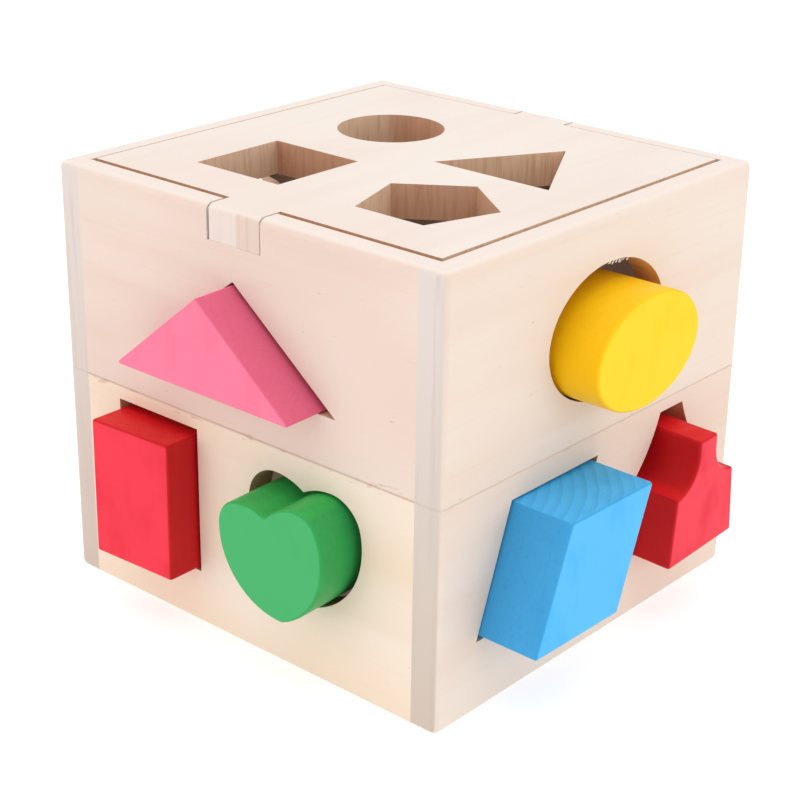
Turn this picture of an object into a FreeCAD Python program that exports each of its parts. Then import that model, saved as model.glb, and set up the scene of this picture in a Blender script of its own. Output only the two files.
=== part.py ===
import FreeCAD, Part
import math
import os

# Wooden shape sorting box. Millimetres, +Z up, the notched front faces -Y.
# The origin is the centre of the underside of the bottom panel.

# overall sizes
box_width = 150.0
box_depth = 144.0
box_height = 135.0
board = 9.0
lid_thickness = 10.5
outer_round = 2.4
seam_bevel = 0.25

# two boards make each wall: the lower one is this share of the height
seam_share = 0.513
seam_height = box_height * seam_share

# lid and the tabs it is lifted by; the lips are what is left of the walls
# outside the step that the lid lies in
side_lip = 7.0
end_lip = 6.7
lid_gap = 1.1
lid_pushed_back = 0.8
lid_pushed_left = 0.6
notch_width = 21.0
notch_middle = -0.8
tab_gap = 0.7
tab_setback = 0.3

# blocks
block_length = 32.0
block_round = 1.0
acute_round = 0.6

# sizes shared by the walls and the lid
half_width = box_width / 2
half_depth = box_depth / 2
inner_x = half_width - board
inner_y = half_depth - board
notch_floor = box_height - lid_thickness
step_x = half_width - side_lip
step_y = half_depth - end_lip

# rows of holes: heights of the hole centres
lower_row = seam_height * 0.61
upper_row = seam_height + (notch_floor - seam_height) * 0.55

os.makedirs("parts", exist_ok=True)


def point(x, y):
    return FreeCAD.Vector(x, y, 0)


def polygon_face(corners):
    closed = [point(x, y) for x, y in corners]
    return Part.Face(Part.makePolygon(closed + [closed[0]]))


def grown(corners, gap):
    """The same straight-sided outline with every side moved outward by gap."""
    count = len(corners)
    lines = []
    for i in range(count):
        (x0, y0), (x1, y1) = corners[i], corners[(i + 1) % count]
        length = math.hypot(x1 - x0, y1 - y0)
        nx, ny = (y1 - y0) / length, -(x1 - x0) / length
        lines.append((nx, ny, nx * x0 + ny * y0 + gap))
    out = []
    for i in range(count):
        a, b, c = lines[i - 1]
        d, e, f = lines[i]
        det = a * e - b * d
        out.append(((c * e - b * f) / det, (a * f - c * d) / det))
    return out


# outlines: each takes the gap that turns the block's outline into its hole's

def rectangle(width, height, headroom=0.0):
    """Headroom is how much taller than the gap alone makes it the hole is."""
    def face(gap):
        top = height / 2 + (headroom if gap else 0)
        corners = [(-width / 2, -height / 2), (width / 2, -height / 2)]
        corners += [(width / 2, top), (-width / 2, top)]
        return polygon_face(grown(corners, gap))
    return face


def triangle(base, height, spread=0.0):
    """Spread is how much further than the gap alone the hole's tips reach."""
    def face(gap):
        reach = base / 2 + (spread if gap else 0)
        corners = [(-reach, -height / 2), (reach, -height / 2), (0, height / 2)]
        return polygon_face(grown(corners, gap))
    return face


def slanted(width, height, lean):
    low, high = -lean / 2, lean / 2
    corners = [(low - width / 2, -height / 2), (low + width / 2, -height / 2)]
    corners += [(high + width / 2, height / 2), (high - width / 2, height / 2)]
    return lambda gap: polygon_face(grown(corners, gap))


def tapered(base, top, height):
    corners = [(-base / 2, -height / 2), (base / 2, -height / 2)]
    corners += [(top / 2, height / 2), (-top / 2, height / 2)]
    return lambda gap: polygon_face(grown(corners, gap))


def regular(sides, radius):
    steps = [math.radians(90 + 360 * i / sides) for i in range(sides)]
    corners = [(radius * math.cos(a), radius * math.sin(a)) for a in steps]
    return lambda gap: polygon_face(grown(corners, gap))


def disc(radius):
    def face(gap):
        return Part.Face(Part.Wire(Part.makeCircle(radius + gap)))
    return face


def oval(long_half, short_half, headroom):
    """Headroom is how much taller than the gap alone makes it the hole is."""
    def face(gap):
        rise = headroom / 2 if gap else 0
        curve = Part.Ellipse(point(0, rise), long_half + gap, short_half + gap + rise)
        return Part.Face(Part.Wire(curve.toShape()))
    return face


def half_round(radius):
    """A half disc, flat side down, centred on its height."""
    def face(gap):
        low = -radius / 2 - gap
        reach = math.sqrt((radius + gap) ** 2 - gap ** 2)
        left, right = point(-reach, low), point(reach, low)
        arc = Part.Arc(left, point(0, radius / 2 + gap), right).toShape()
        return Part.Face(Part.Wire([arc, Part.makeLine(right, left)]))
    return face


def bell(base, waist, top, height, shoulder, rise, headroom):
    """A flat top, a hollow curve down each side and a foot that widens.

    The hole is plainer: its sides run almost straight from top to shoulder.
    """
    def face(gap):
        foot, crown = base / 2 + gap, top / 2 + gap
        low = -height / 2 - gap
        high = height / 2 + gap + (headroom if gap else 0)
        step = -height / 2 + shoulder + gap
        side = foot if gap else waist / 2
        neck = high if gap else step + rise
        hollow = 0.06 if gap else 0.19
        run, climb = side - crown, neck - step
        mid_x = (side + crown) / 2 - hollow * climb
        mid_y = (step + neck) / 2 - hollow * run
        right = [point(foot, low), point(side, step), point(crown, neck)]
        left = [point(-side, step), point(-foot, low), point(-crown, neck)]
        wire = [Part.makeLine(left[1], right[0]), Part.makeLine(right[0], right[1])]
        wire.append(Part.Arc(right[1], point(mid_x, mid_y), right[2]).toShape())
        if neck < high:
            wire.append(Part.makeLine(right[2], point(crown, high)))
        wire.append(Part.makeLine(point(crown, high), point(-crown, high)))
        if neck < high:
            wire.append(Part.makeLine(point(-crown, high), left[2]))
        wire.append(Part.Arc(left[2], point(-mid_x, mid_y), left[0]).toShape())
        wire.append(Part.makeLine(left[0], left[1]))
        return Part.Face(Part.Wire(wire))
    return face


def heart(lobe, lobe_at, brow_drop, flank_at, hole_flank_at):
    """Each half is three arcs: a flat brow, a round lobe and a long flank.

    The arcs run smoothly into each other. lobe is the lobe's radius and
    lobe_at its centre; the brow's centre is brow_drop below that, and the
    flank's centre lies across the middle.
    """
    def face(gap):
        lobe_x, lobe_y = lobe_at
        flank_x, flank_y = hole_flank_at if gap else flank_at
        radius = lobe + gap
        apart = math.hypot(lobe_x - flank_x, lobe_y - flank_y)
        flank = radius + apart
        brow = radius + brow_drop
        notch = (0, lobe_y - brow_drop + math.sqrt(brow ** 2 - lobe_x ** 2))
        tip = (0, flank_y - math.sqrt(flank ** 2 - flank_x ** 2))
        share_x, share_y = (lobe_x - flank_x) / apart, (lobe_y - flank_y) / apart
        top = (lobe_x, lobe_y + radius)
        cheek = (flank_x + flank * share_x, flank_y + flank * share_y)
        turn = (math.pi / 2 + math.atan2(share_y, share_x)) / 2
        shoulder = (lobe_x + radius * math.cos(turn), lobe_y + radius * math.sin(turn))
        half = math.atan2((notch[1] - lobe_y + brow_drop), -lobe_x)
        turn = (math.pi / 2 + half) / 2
        temple = (lobe_x + brow * math.cos(turn), lobe_y - brow_drop + brow * math.sin(turn))
        low = math.atan2(tip[1] - flank_y, -flank_x)
        turn = (low + math.atan2(share_y, share_x)) / 2
        jaw = (flank_x + flank * math.cos(turn), flank_y + flank * math.sin(turn))
        wire = []
        for a, b, c in ((notch, temple, top), (top, shoulder, cheek), (cheek, jaw, tip)):
            wire.append(Part.Arc(point(*a), point(*b), point(*c)).toShape())
        for a, b, c in ((tip, jaw, cheek), (cheek, shoulder, top), (top, temple, notch)):
            ends = [point(-x, y) for x, y in (a, b, c)]
            wire.append(Part.Arc(*ends).toShape())
        return Part.Face(Part.Wire(wire))
    return face


def cross(span, arm):
    """A plus sign whose four arms are all the same width."""
    a, b = span / 2, arm / 2
    corners = [(b, -a), (b, -b), (a, -b), (a, b), (b, b), (b, a)]
    corners += [(-b, a), (-b, b), (-a, b), (-a, -b), (-b, -b), (-b, -a)]
    return lambda gap: polygon_face(grown(corners, gap))


# walls, each with the turn about Z that takes a front-facing outline onto it,
# the middle of its outer face and half of its visible width
upright = FreeCAD.Rotation(FreeCAD.Vector(1, 0, 0), 90)
walls = {}
walls["front"] = (0, FreeCAD.Vector(0, -half_depth, 0), half_width)
walls["right"] = (90, FreeCAD.Vector(half_width, 0, 0), half_depth)
walls["back"] = (180, FreeCAD.Vector(0, half_depth, 0), half_width)
walls["left"] = (-90, FreeCAD.Vector(-half_width, 0, 0), half_depth)


def onto_wall(shape, wall):
    """Move a shape drawn in the XY plane, +Z outward, onto a wall."""
    angle, middle = walls[wall][:2]
    turn = FreeCAD.Rotation(FreeCAD.Vector(0, 0, 1), angle).multiply(upright)
    moved = shape.copy()
    moved.Placement = FreeCAD.Placement(middle, turn).multiply(shape.Placement)
    return moved


# node, wall, outline, gap around the block, place across as a share of half
# the wall, height of the centre, how far the block stands out, where it lies
# in its hole (across, down), and its roll, droop and swing in degrees
wide_triangle = triangle(70.0, 28.6, 2.0)
plain_rectangle = rectangle(32.2, 43.6, 1.4)
round_heart = heart(8.4, (10.65, 8.05), 10.0, (-4.2, 4.8), (-3.2, 5.5))
flat_oval = oval(24.7, 16.8, 2.1)
leaning = slanted(38.6, 37.3, 13.2)
church_bell = bell(34.4, 30.4, 9.4, 38.6, 23.0, 10.6, 3.6)
wall_blocks = [
    ("triangle_wide_block", "front", wide_triangle, 0.7, -0.02, upper_row - 0.35, 13.4, (-0.6, 0.3), (0, 1, 0)),
    ("rectangle_block", "front", plain_rectangle, 0.9, -0.463, lower_row - 1.4, 12.2, (0, 0.2), (0.6, -1, 2)),
    ("heart_block", "front", round_heart, 2.8, 0.338, lower_row + 0.2, 14.0, (0.2, 0), (10.5, 0, 2)),
    ("oval_block", "right", flat_oval, 2.6, 0.0, upper_row - 0.3, 14.0, (0.9, 2.0), (3, 0, 0)),
    ("slanted_block", "right", leaning, 0.8, -0.39, lower_row + 0.2, 20.0, (0, 0), (-0.9, 0.5, 0)),
    ("bell_block", "right", church_bell, 1.2, 0.507, lower_row - 1.0, 14.5, (-0.4, 0), (2.5, 1.8, 0)),
    ("tapered_block", "left", tapered(36.0, 22.0, 30.0), 1.6, -0.42, lower_row, 15.0, (0, 1.2), (0, 0, 0)),
    ("cross_block", "left", cross(34.0, 12.0), 1.6, 0.42, lower_row, 15.0, (0, 1.2), (0, 0, 0)),
]

# the left wall's upper hole is empty: its block lies inside
half_round_outline = half_round(15.5)
half_round_gap = 1.5
half_round_height = upper_row + 7.6

# node, outline, place in the lid as shares of its half sizes, and where the
# block stands: across from the middle and out from the back wall
loose_gap = 1.3
loose_blocks = [
    ("square_block", rectangle(31.0, 31.0), (-0.35, -0.40), (-21.0, 19.0)),
    ("round_block", disc(15.7), (-0.37, 0.326), (17.0, 20.0)),
    ("triangle_block", regular(3, 22.0), (0.377, 0.22), (-17.0, 60.0)),
    ("pentagon_block", regular(5, 19.5), (0.436, -0.40), (20.0, 58.0)),
]
half_round_place = (0.0, 84.0)


def softened(block, radius):
    """Round every corner of a block that turns by more than a few degrees."""
    sharp = []
    for edge in block.Edges:
        faces = block.ancestorsOfType(edge, Part.Face)
        middle = edge.valueAt((edge.FirstParameter + edge.LastParameter) / 2)
        normals = []
        for face in faces:
            u, v = face.Surface.parameter(middle)
            normals.append(face.normalAt(u, v))
        if len(normals) == 2 and normals[0].getAngle(normals[1]) > math.radians(8):
            sharp.append(edge)
    return block.makeFillet(radius, sharp)


def wall_hole(wall, outline, gap, across, height):
    reach = walls[wall][2]
    tool = outline(gap).extrude(FreeCAD.Vector(0, 0, board + 2))
    tool.translate(FreeCAD.Vector(across * reach, height, -board - 1))
    return onto_wall(tool, wall)


def wall_block(node, wall, outline, across, height, out, lie, tilt):
    reach = walls[wall][2]
    radius = acute_round if node == "triangle_wide_block" else block_round
    block = softened(outline(0).extrude(FreeCAD.Vector(0, 0, block_length)), radius)
    block.translate(FreeCAD.Vector(0, 0, out - block_length))
    turns = (FreeCAD.Vector(0, 0, 1), FreeCAD.Vector(1, 0, 0), FreeCAD.Vector(0, 1, 0))
    for axis, degrees in zip(turns, tilt):
        block.rotate(FreeCAD.Vector(0, 0, 0), axis, degrees)
    block.translate(FreeCAD.Vector(across * reach + lie[0], height - lie[1], 0))
    return onto_wall(block, wall)


# the whole box with its outer edges rounded: every board is cut from it
corner = FreeCAD.Vector(-half_width, -half_depth, 0)
whole = Part.makeBox(box_width, box_depth, box_height, corner)
whole = whole.makeFillet(outer_round, whole.Edges)


def board_shape(low, high):
    size = [b - a for a, b in zip(low, high)]
    return Part.makeBox(*size, FreeCAD.Vector(*low)).common(whole)


def seam_groove(wall):
    """A fine V along the glue line on a wall's outer face."""
    reach = walls[wall][2]
    corners = [(0, -seam_bevel), (seam_bevel, 0), (0, seam_bevel), (-seam_bevel, 0)]
    groove = polygon_face(corners).extrude(FreeCAD.Vector(0, 0, 2 * reach + 2))
    groove.rotate(FreeCAD.Vector(0, 0, 0), FreeCAD.Vector(0, 1, 0), 90)
    groove.translate(FreeCAD.Vector(-reach - 1, seam_height, 0))
    return onto_wall(groove, wall)


def notch_tool(side):
    low = -half_depth - 1 if side < 0 else inner_y - 1
    start = FreeCAD.Vector(notch_middle - notch_width / 2, low, notch_floor)
    return Part.makeBox(notch_width, board + 2, lid_thickness + 1, start)


def wall_boards():
    """The eight boards of the four walls."""
    corner = FreeCAD.Vector(-step_x, -step_y, notch_floor)
    step = Part.makeBox(2 * step_x, 2 * step_y, lid_thickness + 1, corner)
    spans = {}
    spans["front"] = ((-inner_x, -half_depth), (inner_x, -inner_y))
    spans["back"] = ((-inner_x, inner_y), (inner_x, half_depth))
    spans["left"] = ((-half_width, -half_depth), (-inner_x, half_depth))
    spans["right"] = ((inner_x, -half_depth), (half_width, half_depth))
    made = {}
    for wall, (low, high) in spans.items():
        cuts = [seam_groove(wall), step]
        for node, side, outline, gap, across, height, *block_place in wall_blocks:
            if side == wall:
                cuts.append(wall_hole(wall, outline, gap, across, height))
        if wall == "left":
            cuts.append(wall_hole(wall, half_round_outline, half_round_gap, 0, half_round_height))
        if wall == "front":
            cuts.append(notch_tool(-1))
        if wall == "back":
            cuts.append(notch_tool(1))
        lower = board_shape((*low, 0), (*high, seam_height))
        upper = board_shape((*low, seam_height), (*high, box_height))
        made[wall + "_lower_board"] = lower.cut(cuts)
        made[wall + "_upper_board"] = upper.cut(cuts)
    return made


def lid_boards():
    """Two boards edge to edge; half a tab at each end of each."""
    reach_x, reach_y = step_x - lid_gap, step_y - lid_gap
    front, back = lid_pushed_back - reach_y, lid_pushed_back + reach_y
    tab_reach = notch_width / 2 - tab_gap
    tab_y = half_depth - tab_setback
    cuts = []
    for node, outline, (across, along), floor in loose_blocks:
        tool = outline(loose_gap).extrude(FreeCAD.Vector(0, 0, lid_thickness + 2))
        tool.translate(FreeCAD.Vector(across * half_width, along * half_depth, notch_floor - 1))
        cuts.append(tool)
    made = {}
    for node, side in (("lid_left_board", -1), ("lid_right_board", 1)):
        low, high = sorted((0, side * reach_x - lid_pushed_left))
        panel = board_shape((low, front, notch_floor), (high, back, box_height))
        low, high = sorted((0, notch_middle + side * tab_reach))
        tab = board_shape((low, -tab_y, notch_floor), (high, tab_y, box_height))
        made[node] = panel.fuse(tab).removeSplitter().cut(cuts)
    return made


def floor_blocks():
    """The blocks with no hole beside them stand on the floor inside."""
    made = {}
    standing = [(node, outline, place) for node, outline, hole, place in loose_blocks]
    standing.append(("half_round_block", half_round_outline, half_round_place))
    for node, outline, (across, out) in standing:
        block = softened(outline(0).extrude(FreeCAD.Vector(0, 0, block_length)), block_round)
        block.translate(FreeCAD.Vector(across, inner_y - out, board))
        made[node] = block
    return made


def main():
    parts = wall_boards()
    parts["bottom_panel"] = Part.makeBox(
        2 * inner_x, 2 * inner_y, board, FreeCAD.Vector(-inner_x, -inner_y, 0)
    )
    parts.update(lid_boards())
    for node, wall, outline, gap, *block_place in wall_blocks:
        parts[node] = wall_block(node, wall, outline, *block_place)
    parts.update(floor_blocks())
    for node, shape in parts.items():
        solid = shape.Solids[0]
        print(node, round(solid.Volume))
        solid.exportStep("parts/" + node + ".step")


main()
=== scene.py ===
import bpy
import math
import random
from mathutils import Matrix, Vector


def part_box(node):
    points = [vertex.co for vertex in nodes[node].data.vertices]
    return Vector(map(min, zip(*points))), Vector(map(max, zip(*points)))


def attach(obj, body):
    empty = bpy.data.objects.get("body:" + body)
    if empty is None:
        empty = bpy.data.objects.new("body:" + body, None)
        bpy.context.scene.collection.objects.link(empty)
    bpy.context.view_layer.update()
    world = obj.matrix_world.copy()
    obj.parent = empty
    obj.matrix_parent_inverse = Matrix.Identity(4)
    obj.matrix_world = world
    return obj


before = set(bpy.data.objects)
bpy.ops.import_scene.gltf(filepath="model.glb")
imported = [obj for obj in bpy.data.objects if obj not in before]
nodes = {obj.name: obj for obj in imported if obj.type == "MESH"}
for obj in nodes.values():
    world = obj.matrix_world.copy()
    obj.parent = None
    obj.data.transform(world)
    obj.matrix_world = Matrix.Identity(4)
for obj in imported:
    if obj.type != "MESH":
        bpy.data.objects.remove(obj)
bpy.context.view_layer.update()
mm = 0.001


# small helpers

def deselectAll():
    if bpy.context.object and bpy.context.object.mode != "OBJECT":
        bpy.ops.object.mode_set(mode="OBJECT")
    bpy.ops.object.select_all(action="DESELECT")


def srgb(hexCode):
    parts = [int(hexCode[i:i + 2], 16) / 255 for i in (1, 3, 5)]
    linear = [c / 12.92 if c <= 0.04045 else ((c + 0.055) / 1.055) ** 2.4 for c in parts]
    return (*linear, 1.0)


def addNode(tree, kind, settings=None, links=None, result=0):
    node = tree.nodes.new(kind)
    for name, value in (settings or {}).items():
        if isinstance(name, int) or name in node.inputs:
            node.inputs[name].default_value = value
        else:
            setattr(node, name, value)
    for name, source in (links or {}).items():
        tree.links.new(source, node.inputs[name])
    return node if result is None else node.outputs[result]


def newMaterial(name):
    material = bpy.data.materials.new(name)
    material.use_nodes = True
    return material, material.node_tree, material.node_tree.nodes["Principled BSDF"]


def giveMaterial(node, material):
    nodes[node].data.materials.clear()
    nodes[node].data.materials.append(material)


# patterns shared by the bare and the stained wood

noiseRoughness = 0.55  # how much of the fine noise is kept in every pattern


# how far a point lies inside patches of a noise drawn out along the grain, 0 to 1
def grainPatches(tree, place, grain, shift, pattern):
    width, length, detail, starts, full, strongest = pattern
    scale = [1 / (width * mm)] * 3
    scale["xyz".index(grain)] = 1 / (length * mm)
    mapped = addNode(tree, "ShaderNodeMapping", {"Location": shift, "Scale": scale}, {"Vector": place})
    noise = addNode(tree, "ShaderNodeTexNoise", {"Scale": 1.0, "Detail": detail, "Roughness": noiseRoughness},
                    {"Vector": mapped})
    share = {"interpolation_type": "SMOOTHSTEP", 1: starts, 2: full, 4: strongest}
    return addNode(tree, "ShaderNodeMapRange", share, {0: noise})


# lays each tone over the ones before it, where its share says
def layered(tree, ground, layers):
    colour = None
    for share, tone in layers:
        links = {0: share, 6: colour} if colour else {0: share}
        colour = addNode(tree, "ShaderNodeMix", {"data_type": "RGBA", 6: srgb(ground), 7: srgb(tone)}, links, 2)
    return colour


# how squarely a surface looks along an axis, 0 to 1
def facesAlong(tree, place, axis, reach):
    starts, full = reach
    turned = addNode(tree, "ShaderNodeSeparateXYZ", {}, {0: place.outputs["Normal"]}, axis.upper())
    either = addNode(tree, "ShaderNodeMath", {"operation": "ABSOLUTE"}, {0: turned})
    share = {"interpolation_type": "SMOOTHSTEP", 1: starts, 2: full}
    return addNode(tree, "ShaderNodeMapRange", share, {0: either})


# patches: width and length in mm, fineness, noise where they start and are full, strongest share
bareWood = {
    "clouds": (48, 80, 1.0, 0.35, 0.65, 1.0),
    "bands": (11, 160, 2.0, 0.42, 0.8, 0.26),
    "streaks": (1.2, 60, 3.0, 0.5, 0.85, 0.16),
    "pores": (0.5, 5, 1.0, 0.66, 0.8, 0.3),
    "flecks": (1.4, 4, 1.0, 0.79, 0.85, 0.4),
    "endStreaks": (2.2, 40, 2.0, 0.5, 0.75, 0.55),
    "sawMarks": (1.1, 14, 2.0, 0.42, 0.75, 0.42),
    "glueSmudges": (1.8, 7, 2.0, 0.6, 0.7, 0.8),
    "seamHeight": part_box("front_upper_board")[0].z,  # metres
    "seamLine": (0.25, 0.5),  # mm from the glue line, where it is full and where it ends
    "seamSmudges": (0.5, 2.4),
    # painted shade on the end grain, growing darker from this height down to the bottom
    "endDarkensBelow": 0.12,  # metres
    "sandedEdges": (0.5, 0.95),  # how squarely a surface faces, where the tone starts and is full
    "endGrain": (0.6, 0.9),
    "holeWalls": (0.35, 0.15),
    "roughness": (0.56, 0.7),  # smoothest, dullest
    "shine": 0.25,
    "bump": (0.3, 0.2),  # strength, mm
}


# basswood, planed and sanded, no finish: near white, dull, with the faintest grain
def makeBareWood(name, look):
    wood = bareWood
    material, tree, shader = newMaterial("sandedBasswood_" + name)
    grain, facing, shift = look["grain"], look["facing"], look["shift"]
    place = addNode(tree, "ShaderNodeTexCoord", result=None)
    spot = place.outputs["Object"]
    clouds, bands, streaks, pores = [grainPatches(tree, spot, grain, shift, wood[k])
                                     for k in ("clouds", "bands", "streaks", "pores")]
    layers = [(clouds, look["warm"]), (bands, look["band"]), (streaks, look["band"]), (pores, look["band"])]
    layers.append((grainPatches(tree, spot, grain, shift, wood["flecks"]), look["sawMark"]))

    # the narrow upper edges were sanded with the lid and match it
    if facing != "z":
        layers.append((facesAlong(tree, place, "z", wood["sandedEdges"]), look["edge"]))

    # end grain: greyer, with painted shade darkening it low down, and a few soft streaks
    endwise = facesAlong(tree, place, grain, wood["endGrain"])
    streak = grainPatches(tree, spot, "z", shift, wood["endStreaks"])
    streakHere = addNode(tree, "ShaderNodeMath", {"operation": "MULTIPLY"}, {0: endwise, 1: streak})
    height = addNode(tree, "ShaderNodeSeparateXYZ", {}, {0: spot}, "Z")
    # painted shade: the end grain takes a darker tone towards the bottom
    low = addNode(tree, "ShaderNodeMapRange", {1: wood["endDarkensBelow"], 2: 0.0}, {0: height})
    paintedShadeLow = addNode(tree, "ShaderNodeMath", {"operation": "MULTIPLY"}, {0: endwise, 1: low})
    layers += [(endwise, look["end"]), (paintedShadeLow, look["endShadeLow"]), (streakHere, look["endLine"])]

    # sawn walls of the holes: browned by the cutter and darkened with painted shade, with marks across the
    # board
    middle, half = look["holes"]
    scaled = addNode(tree, "ShaderNodeMapping", {"Location": [-c / h for c, h in zip(middle, half)],
                                                 "Scale": [1 / (h * mm) for h in half]}, {"Vector": spot})
    across = addNode(tree, "ShaderNodeVectorMath", {"operation": "ABSOLUTE"}, {0: scaled})
    apart = addNode(tree, "ShaderNodeSeparateXYZ", {}, {0: across}, None)
    others = [k for k in "XYZ" if k.lower() != facing]
    furthest = addNode(tree, "ShaderNodeMath", {"operation": "MAXIMUM"},
                       {0: apart.outputs[others[0]], 1: apart.outputs[others[1]]})
    inside = addNode(tree, "ShaderNodeMath", {"operation": "LESS_THAN", 1: 1.0}, {0: furthest})
    outward = facesAlong(tree, place, facing, wood["holeWalls"])
    # painted shade: the walls inside the holes take the darker sawn tones
    sawnShaded = addNode(tree, "ShaderNodeMath", {"operation": "MULTIPLY"}, {0: inside, 1: outward})
    mark = grainPatches(tree, spot, facing, shift, wood["sawMarks"])
    markHere = addNode(tree, "ShaderNodeMath", {"operation": "MULTIPLY"}, {0: sawnShaded, 1: mark})
    sawnShadedEnd = addNode(tree, "ShaderNodeMath", {"operation": "MULTIPLY"}, {0: sawnShaded, 1: endwise})
    layers += [(sawnShaded, look["sawnShaded"]), (sawnShadedEnd, look["sawnShadedEnd"]), (markHere, look["sawMark"])]

    # glue line between the two boards of a wall, faint, with a few smudges
    if "seam" in look:
        strongest, smudged = look["seam"]
        off = addNode(tree, "ShaderNodeMath", {"operation": "SUBTRACT", 1: wood["seamHeight"]}, {0: height})
        away = addNode(tree, "ShaderNodeMath", {"operation": "ABSOLUTE"}, {0: off})
        full, ends = [d * mm for d in wood["seamLine"]]
        line = addNode(tree, "ShaderNodeMapRange", {1: ends, 2: full, 4: strongest}, {0: away})
        full, ends = [d * mm for d in wood["seamSmudges"]]
        near = addNode(tree, "ShaderNodeMapRange", {1: ends, 2: full, 4: smudged}, {0: away})
        smudge = grainPatches(tree, spot, grain, shift, wood["glueSmudges"])
        smudgeHere = addNode(tree, "ShaderNodeMath", {"operation": "MULTIPLY"}, {0: near, 1: smudge})
        layers += [(line, look["glue"]), (smudgeHere, look["glue"])]

    relief = addNode(tree, "ShaderNodeMath", {"operation": "ADD"}, {0: streaks, 1: markHere})
    strength, depth = wood["bump"]
    bump = addNode(tree, "ShaderNodeBump", {"Strength": strength, "Distance": depth * mm}, {"Height": relief})
    tree.links.new(layered(tree, look["cool"], layers), shader.inputs["Base Color"])
    tree.links.new(bump, shader.inputs["Normal"])
    smooth, rough = wood["roughness"]
    dull = addNode(tree, "ShaderNodeMapRange", {3: smooth, 4: rough}, {0: bands})
    tree.links.new(dull, shader.inputs["Roughness"])
    shader.inputs["Specular IOR Level"].default_value = wood["shine"]
    return material


# the sawn tones hold the cutter's browning together with painted shade from inside the holes
cuts = {"sawnShaded": "#e8c6a8", "sawnShadedEnd": "#d2a080", "sawMark": "#b8805e", "end": "#d9cdc6", "endShadeLow": "#c9b8aa",
        "endLine": "#c8bab0", "edge": "#e8dad0", "glue": "#b08a70"}
frontWall = {"grain": "x", "facing": "y", "holes": ((0, 0, 64), (62, 99, 58)), "seam": (0.35, 0.7)}  # mm
sideWall = {"grain": "y", "facing": "x", "holes": ((0, 0, 64), (99, 60, 58)), "seam": (0.15, 0.2)}
level = {"facing": "z", "holes": ((0, 0, 0), (70, 68, 999))}  # the lid's edges were sawn with its holes
pinkish = {"cool": "#e3d1c4", "warm": "#e0c9bc", "band": "#d8b8a8"}
ochre = {"cool": "#ecdccd", "warm": "#ead4be", "band": "#e2c5a6"}
peach = {"cool": "#e6d7ca", "warm": "#e5d1c1", "band": "#dcbda8"}
lidTone = {"cool": "#e8ddd4", "warm": "#e7d8ce", "band": "#dfc9ba"}
boards = {
    "front_upper_board": {"shift": (0.1, 0.2, 0.3), **pinkish, **frontWall},
    "front_lower_board": {"shift": (3.1, 1.2, 7.3), **ochre, **frontWall},
    "right_upper_board": {"shift": (5.1, 2.2, 1.3), **peach, **sideWall},
    "right_lower_board": {"shift": (8.1, 4.2, 2.3), **peach, **sideWall},
    "left_upper_board": {"shift": (2.1, 6.2, 5.3), **peach, **sideWall},
    "left_lower_board": {"shift": (9.1, 3.2, 6.3), **ochre, **sideWall},
    "back_upper_board": {"shift": (1.1, 8.2, 4.3), **peach, **frontWall},
    "back_lower_board": {"shift": (6.1, 9.2, 8.3), **ochre, **frontWall},
    "bottom_panel": {"grain": "x", "shift": (7.1, 5.2, 9.3), **ochre, **level},
    "lid_left_board": {"grain": "y", "shift": (4.1, 7.2, 0.3),
                       **lidTone, **level, "end": "#e3d4cb", "endShadeLow": "#e3d4cb", "endLine": "#dccabf"},
    "lid_right_board": {"grain": "y", "shift": (2.6, 1.7, 3.8),
                        **lidTone, **level, "end": "#dcc6ba", "endShadeLow": "#dcc6ba", "endLine": "#cfb29e"},
}
for name, look in boards.items():
    giveMaterial(name, makeBareWood(name, {**cuts, **look}))
print("boards: done")


# torn fibres that the cutter left on the top of the oval hole's rim
fibres = {
    "count": 14,
    "length": (1.6, 3.8),  # mm
    "thickness": (0.09, 0.17),
    "model": (0.05, 0.008, 1.0),  # root and tip radius and length of the one that is copied
    "facets": 6,
    "cuts": 4,
    "smoothUpTo": 40,  # degrees
    "span": (-1.5, 9.5),  # mm along the wall, where they hang
    "reach": 20,  # mm either side of the wall's middle that holds the rim's top
    "above": (112, 124),  # and its heights
    "face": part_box("right_upper_board")[1].x,  # metres
    "faceDepth": 0.1,  # mm in from the face that still counts as the rim
    "rootDepth": 0.02,  # mm that each root is sunk in the wall
    "lean": (35, 75),  # degrees from upright
    "bend": 25,
    "seed": 7,
    "browned": (1.0, 2.0, 2.0, 0.4, 0.7, 0.8),  # patches as for the bare wood
    "shift": (1, 2, 3),
    "pale": "#f6ece4",
    "brown": "#d9b8a4",
    "roughness": 0.8,
}


# one tapered sliver, a millimetre long, curling over
def makeSliver():
    deselectAll()
    root, tip, length = [d * mm for d in fibres["model"]]
    bpy.ops.mesh.primitive_cone_add(vertices=fibres["facets"], radius1=root, radius2=tip, depth=length)
    sliver = bpy.context.object
    bpy.ops.object.mode_set(mode="EDIT")
    bpy.ops.mesh.select_all(action="SELECT")
    bpy.ops.mesh.subdivide(number_cuts=fibres["cuts"])
    bpy.ops.mesh.normals_make_consistent(inside=False)
    bpy.ops.object.mode_set(mode="OBJECT")
    curl = sliver.modifiers.new("curl", "SIMPLE_DEFORM")
    curl.deform_method = "BEND"
    curl.deform_axis = "X"
    curl.angle = math.radians(fibres["bend"])
    bpy.ops.object.modifier_apply(modifier=curl.name)
    return sliver


# where the rim of the oval hole is, this far along the wall
def rimHeight(along):
    rim = sorted((v.co.y, v.co.z) for v in nodes["right_upper_board"].data.vertices
                 if v.co.x > fibres["face"] - fibres["faceDepth"] * mm and abs(v.co.y) < fibres["reach"] * mm
                 and fibres["above"][0] * mm < v.co.z < fibres["above"][1] * mm)
    before = max((p for p in rim if p[0] <= along), default=rim[0])
    after = min((p for p in rim if p[0] > along), default=rim[-1])
    share = (along - before[0]) / max(after[0] - before[0], 0.01 * mm)
    return before[1] + share * (after[1] - before[1])


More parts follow.
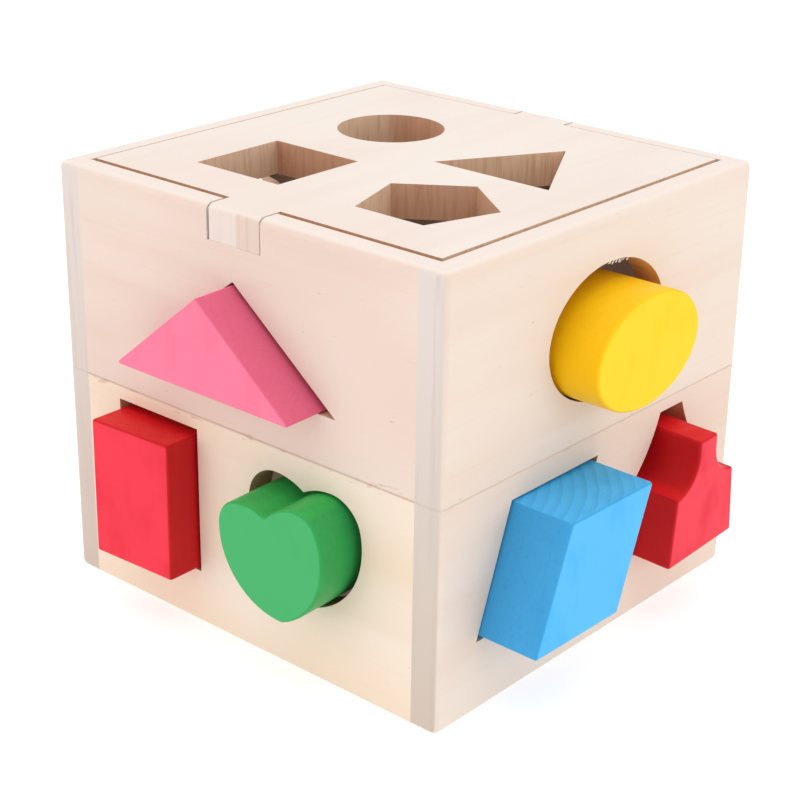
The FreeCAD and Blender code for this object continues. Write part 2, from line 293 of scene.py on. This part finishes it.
def makeFibres():
    chance = random.Random(fibres["seed"])
    first = makeSliver()
    slivers = [first]
    for i in range(fibres["count"] - 1):
        another = first.copy()
        another.data = first.data.copy()
        bpy.context.scene.collection.objects.link(another)
        slivers.append(another)
    for sliver in slivers:
        deselectAll()
        sliver.select_set(True)
        bpy.context.view_layer.objects.active = sliver
        bpy.ops.object.mode_set(mode="EDIT")
        bpy.ops.mesh.select_all(action="SELECT")
        length = chance.uniform(*fibres["length"])
        breadth = chance.uniform(*fibres["thickness"]) / fibres["model"][0]
        bpy.ops.transform.resize(value=(breadth, breadth, length))
        lean = math.radians(chance.uniform(*fibres["lean"]))
        bpy.ops.transform.rotate(value=lean, orient_axis="X", center_override=(0, 0, 0))
        along = chance.uniform(*fibres["span"]) * mm
        bpy.ops.transform.translate(value=(fibres["face"] - fibres["rootDepth"] * mm, along, rimHeight(along)))
        bpy.ops.object.mode_set(mode="OBJECT")
    deselectAll()
    for sliver in slivers:
        sliver.select_set(True)
    bpy.context.view_layer.objects.active = first
    bpy.ops.object.join()
    first.name = "torn_fibres"
    bpy.ops.object.shade_smooth_by_angle(angle=math.radians(fibres["smoothUpTo"]))
    return first


# loose basswood fibre, torn: paler than the board, browned in places, and dull
def makeFibreWood():
    material, tree, shader = newMaterial("tornBasswoodFibre")
    place = addNode(tree, "ShaderNodeTexCoord", result=None)
    brown = grainPatches(tree, place.outputs["Object"], "y", fibres["shift"], fibres["browned"])
    tree.links.new(layered(tree, fibres["pale"], [(brown, fibres["brown"])]), shader.inputs["Base Color"])
    shader.inputs["Roughness"].default_value = fibres["roughness"]
    return material


torn = makeFibres()
torn.data.materials.append(makeFibreWood())
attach(torn, "box")
print("fibres: done")


# patches as for the bare wood
stainedWood = {
    "lines": (0.7, 22, 3.0, 0.5, 0.8, 0.4),
    "mottle": (10, 18, 2.0, 0.45, 0.75, 0.14),
    "ringGap": 3.4,  # mm from ring to ring
    "ringStrength": {"blue": 0.34},  # the other stains hide the rings more
    "faintRings": 0.1,
    "ringShade": (0.35, 0.95),  # share of a ring's width, where its dark part starts and is full
    "shapedFaces": (0.8, 0.97),  # how squarely a surface faces, where the tone starts and is full
    "endGrain": (0.8, 0.95),
    "roughness": (0.4, 0.6),  # smoothest, dullest
    "shine": 0.15,
    "bump": (0.2, 0.12),  # strength, mm
}

# what each colour of stain shows: cut shape face, paler partly with painted light; long sides, darker partly
# with painted shade; end grain, lighter with painted light where it looks up or down; grain lines
stains = {
    "pink": ("#f67896", "#e06684", "#e87090", "#cf4e70"),
    "red": ("#ec3044", "#c4161c", "#de1c22", "#a41218"),
    "green": ("#42ac66", "#34a052", "#36b052", "#248244"),
    "yellow": ("#f9ce10", "#f9c00a", "#fac410", "#eaac08"),
    "blue": ("#52b8f0", "#409ed6", "#48b4f2", "#2e84be"),
}


# water-stained basswood, rubbed down to a satin: strong clear colour, paler on
# the cut faces and ends and darker on the sides, partly painted light and shade, with fine lines along the
# grain and rings on its ends
def makeStain(name, stain, out, pith):
    wood = stainedWood
    face, sideToneAndShade, end, line = stains[stain]
    strongest = wood["ringStrength"].get(stain, wood["faintRings"])
    material, tree, shader = newMaterial("stainedBasswood_" + name)
    place = addNode(tree, "ShaderNodeTexCoord", result=None)
    spot = place.outputs["Object"]
    shift = (pith[0] * 0.1, pith[1] * 0.1, 0.5)
    lines = grainPatches(tree, spot, "z", shift, wood["lines"])
    mottle = grainPatches(tree, spot, "z", shift, wood["mottle"])
    # painted light: the shaped faces take the paler face tone, and the sides keep the darker tone as painted
    # shade
    shapedPaleAndLit = facesAlong(tree, place, out, wood["shapedFaces"])
    long = facesAlong(tree, place, out, wood["shapedFaces"][::-1])
    lineHere = addNode(tree, "ShaderNodeMath", {"operation": "MULTIPLY"}, {0: lines, 1: long})

    # growth rings, seen on the faces across the grain
    across = facesAlong(tree, place, "z", wood["endGrain"])
    toPith = (-pith[0] * mm, -pith[1] * mm, 0)
    centred = addNode(tree, "ShaderNodeMapping", {"Location": toPith, "Scale": (1, 1, 0)}, {"Vector": spot})
    radius = addNode(tree, "ShaderNodeVectorMath", {"operation": "LENGTH"}, {0: centred}, "Value")
    rings = addNode(tree, "ShaderNodeMath", {"operation": "DIVIDE", 1: wood["ringGap"] * mm}, {0: radius})
    wobbled = addNode(tree, "ShaderNodeMath", {"operation": "ADD"}, {0: rings, 1: mottle})
    saw = addNode(tree, "ShaderNodeMath", {"operation": "FRACT"}, {0: wobbled})
    starts, full = wood["ringShade"]
    ring = addNode(tree, "ShaderNodeMapRange", {1: starts, 2: full, 4: strongest}, {0: saw})
    ringHere = addNode(tree, "ShaderNodeMath", {"operation": "MULTIPLY"}, {0: ring, 1: across})
    # the face tone and the end tone on faces that look up or down carry painted light, and the side tone
    # carries painted shade
    layers = [(shapedPaleAndLit, face), (across, end), (mottle, line), (lineHere, line), (ringHere, line)]

    strength, depth = wood["bump"]
    bump = addNode(tree, "ShaderNodeBump", {"Strength": strength, "Distance": depth * mm}, {"Height": lineHere})
    tree.links.new(layered(tree, sideToneAndShade, layers), shader.inputs["Base Color"])
    tree.links.new(bump, shader.inputs["Normal"])
    smooth, rough = wood["roughness"]
    dull = addNode(tree, "ShaderNodeMapRange", {2: wood["mottle"][-1], 3: smooth, 4: rough}, {0: mottle})
    tree.links.new(dull, shader.inputs["Roughness"])
    shader.inputs["Specular IOR Level"].default_value = wood["shine"]
    return material


# stain, the axis that the shaped face looks along, the centre of its rings
blocks = {
    "triangle_wide_block": ("pink", "y", (-20, -40)),
    "rectangle_block": ("red", "y", (-60, -30)),
    "heart_block": ("green", "y", (30, -20)),
    "oval_block": ("yellow", "x", (30, 10)),
    "slanted_block": ("blue", "x", (30, -60)),
    "bell_block": ("red", "x", (40, 60)),
    "tapered_block": ("green", "x", (-40, -60)),
    "cross_block": ("yellow", "x", (-40, 60)),
    "square_block": ("blue", "z", (-40, 20)),
    "round_block": ("green", "z", (40, 30)),
    "triangle_block": ("yellow", "z", (-30, 20)),
    "pentagon_block": ("pink", "z", (30, -20)),
    "half_round_block": ("red", "z", (10, -30)),
}
for name, (stain, out, pith) in blocks.items():
    giveMaterial(name, makeStain(name, stain, out, pith))
print("blocks: done")


# floor, light and camera

studio = {
    "floorSize": 8.0,  # metres
    "floor": "#c8c8c8",
    "floorRoughness": 0.9,
    "floorGlow": 0.55,  # a lit white sweep, so that shadows on it stay faint
    "sky": 0.75,
    "topSun": ((0.1, -0.1, 1.5), 1.0),  # where it stands, strength
    "leftSun": ((-0.75, -1.0, 0.38), 0.7),
    "rightSun": ((1.0, 0.75, 0.38), 0.7),
    "sunSize": 60,  # degrees
    "camera": (0.3518, -0.4085, 0.2865),  # metres
    "heading": 40.889,  # degrees
    "height": 23.058,
    "roll": 0.872,
    "lens": 83.82,  # mm
    "sensor": 36,
}


def makeFloor():
    deselectAll()
    bpy.ops.mesh.primitive_plane_add(size=studio["floorSize"])
    floor = bpy.context.object
    floor.name = "floor"
    material, tree, shader = newMaterial("whiteAcrylicSweep")
    shader.inputs["Base Color"].default_value = srgb(studio["floor"])
    shader.inputs["Roughness"].default_value = studio["floorRoughness"]
    shader.inputs["Emission Color"].default_value = srgb("#ffffff")
    shader.inputs["Emission Strength"].default_value = studio["floorGlow"]
    floor.data.materials.append(material)


def makeSun(name, stands, strength):
    data = bpy.data.lights.new(name, "SUN")
    data.angle = math.radians(studio["sunSize"])
    data.energy = strength
    light = bpy.data.objects.new(name, data)
    bpy.context.scene.collection.objects.link(light)
    light.location = stands
    light.rotation_euler = Vector(stands).to_track_quat("Z", "Y").to_euler()


def makeCamera():
    a, e, r = [math.radians(studio[k]) for k in ("heading", "height", "roll")]
    back = Vector((math.sin(a) * math.cos(e), -math.cos(a) * math.cos(e), math.sin(e)))
    sideways = Vector((math.cos(a), math.sin(a), 0))
    up = back.cross(sideways)
    right = sideways * math.cos(r) + up * math.sin(r)
    top = up * math.cos(r) - sideways * math.sin(r)
    data = bpy.data.cameras.new("camera")
    data.lens = studio["lens"]
    data.sensor_width = studio["sensor"]
    camera = bpy.data.objects.new("camera", data)
    bpy.context.scene.collection.objects.link(camera)
    turn = Matrix((right, top, back)).transposed().to_4x4()
    camera.matrix_world = Matrix.Translation(studio["camera"]) @ turn
    bpy.context.scene.camera = camera


makeFloor()
makeSun("topSoftbox", *studio["topSun"])
makeSun("leftSoftbox", *studio["leftSun"])
makeSun("rightSoftbox", *studio["rightSun"])
world = bpy.data.worlds.new("lightTent")
world.use_nodes = True
world.node_tree.nodes["Background"].inputs["Color"].default_value = (1, 1, 1, 1)
world.node_tree.nodes["Background"].inputs["Strength"].default_value = studio["sky"]
bpy.context.scene.world = world
bpy.context.scene.view_settings.view_transform = "Standard"
makeCamera()
print("studio: done")
